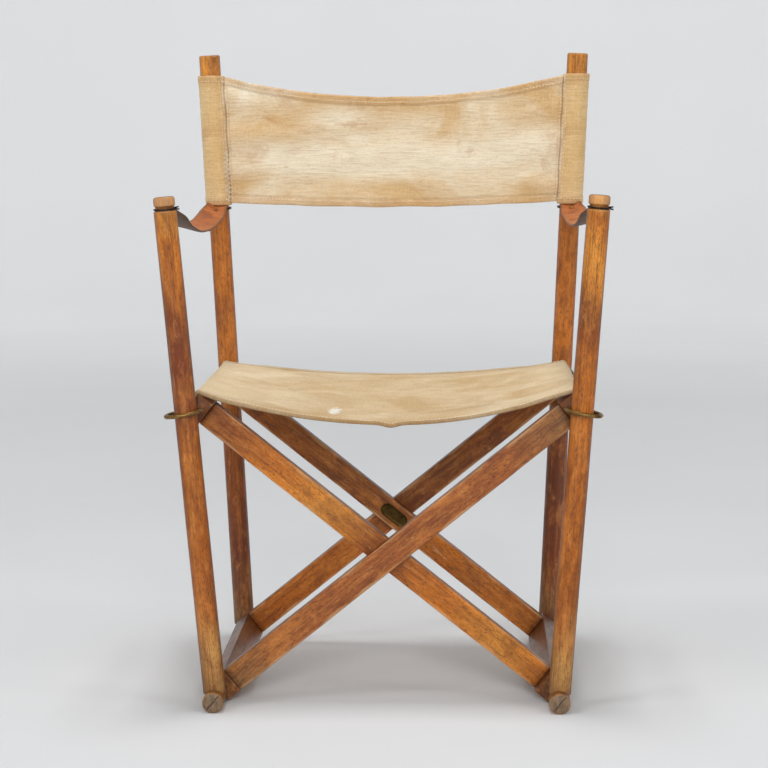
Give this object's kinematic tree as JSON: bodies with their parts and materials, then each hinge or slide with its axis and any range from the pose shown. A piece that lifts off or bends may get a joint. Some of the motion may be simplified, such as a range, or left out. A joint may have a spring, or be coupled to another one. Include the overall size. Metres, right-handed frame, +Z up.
{
  "type": "folding chair",
  "caption": "Folding armchair with round wooden side poles, a scissor stool base held by brass rings, canvas seat and back, and leather arm straps.",
  "frame": {"origin": "middle of the box that holds the open chair, on the floor", "axes": "+Z up, -Y is the way a sitter faces, +X is to the right of someone who looks at the chair's front"},
  "size_m": [0.596, 0.4662, 0.8706],
  "materials": {
    "beech_wood": "worn satin, stained",
    "canvas": "aged heavy weave",
    "leather": "worn",
    "brass": "aged",
    "dark_metal": "darkened"
  },
  "bodies": {
    "left_frame": {"left_runner": "beech_wood", "front_left_pole": "beech_wood", "rear_left_pole": "beech_wood", "left_strap": "leather", "left_neck_ring": "dark_metal", "left_rear_strap_ring": "dark_metal", "left_back_sleeve": "canvas", "back_canvas": "canvas"},
    "outer_stool": {"outer_lower_rail": "beech_wood", "outer_seat_rail": "beech_wood", "outer_front_slat": "beech_wood", "outer_rear_slat": "beech_wood", "outer_front_eye": "brass", "outer_rear_eye": "brass", "outer_front_staple": "brass", "outer_rear_staple": "brass", "front_pivot_pin": "brass", "rear_pivot_pin": "brass", "front_pivot_washer": "brass", "rear_pivot_washer": "brass", "seat_canvas": "canvas"},
    "inner_stool": {"inner_lower_rail": "beech_wood", "inner_seat_rail": "beech_wood", "inner_front_slat": "beech_wood", "inner_rear_slat": "beech_wood", "inner_front_eye": "brass", "inner_rear_eye": "brass", "inner_front_staple": "brass", "inner_rear_staple": "brass", "blank_plate": "brass"},
    "right_frame": {"right_runner": "beech_wood", "front_right_pole": "beech_wood", "rear_right_pole": "beech_wood", "right_strap": "leather", "right_neck_ring": "dark_metal", "right_rear_strap_ring": "dark_metal", "right_back_sleeve": "canvas"},
    "front_left_pole_ring": {"front_left_pole_ring": "brass"},
    "rear_left_pole_ring": {"rear_left_pole_ring": "brass"},
    "front_right_pole_ring": {"front_right_pole_ring": "brass"},
    "rear_right_pole_ring": {"rear_right_pole_ring": "brass"}
  },
  "joints": [
    {"name": "stool_fold", "type": "hinge", "parent": "outer_stool", "child": "inner_stool", "pos_m": [0, 0, 0.19782], "axis": [0, 1, 0], "range_deg": [0, 82], "deforming": ["seat_canvas"]},
    {"name": "left_runner_hinge", "type": "hinge", "parent": "left_frame", "child": "outer_stool", "pos_m": [-0.229, 0, 0.0137], "axis": [0, -1, 0], "range_deg": [0, 43.66], "deforming": ["back_canvas", "left_strap"]},
    {"name": "right_runner_hinge", "type": "hinge", "parent": "inner_stool", "child": "right_frame", "pos_m": [0.229, 0, 0.0137], "axis": [0, -1, 0], "range_deg": [0, 43.66], "deforming": ["right_strap"]},
    {"name": "front_left_pole_ring_swing", "type": "hinge", "parent": "inner_stool", "child": "front_left_pole_ring", "pos_m": [-0.2545, -0.182, 0.39781], "axis": [0, -1, 0], "range_deg": [0, 38.34]},
    {"name": "rear_left_pole_ring_swing", "type": "hinge", "parent": "inner_stool", "child": "rear_left_pole_ring", "pos_m": [-0.253, 0.1805, 0.39781], "axis": [0, -1, 0], "range_deg": [0, 38.34]},
    {"name": "front_right_pole_ring_swing", "type": "hinge", "parent": "outer_stool", "child": "front_right_pole_ring", "pos_m": [0.254, -0.1805, 0.39781], "axis": [0, 1, 0], "range_deg": [0, 38.34]},
    {"name": "rear_right_pole_ring_swing", "type": "hinge", "parent": "outer_stool", "child": "rear_right_pole_ring", "pos_m": [0.253, 0.1805, 0.39781], "axis": [0, 1, 0], "range_deg": [0, 38.34]}
  ],
  "couplings": [
    {"joint": "left_runner_hinge", "follows": "stool_fold", "ratio": 0.5325},
    {"joint": "right_runner_hinge", "follows": "stool_fold", "ratio": 0.5325},
    {"joint": "front_left_pole_ring_swing", "follows": "stool_fold", "ratio": 0.4675},
    {"joint": "rear_left_pole_ring_swing", "follows": "stool_fold", "ratio": 0.4675},
    {"joint": "front_right_pole_ring_swing", "follows": "stool_fold", "ratio": 0.4675},
    {"joint": "rear_right_pole_ring_swing", "follows": "stool_fold", "ratio": 0.4675}
  ]
}
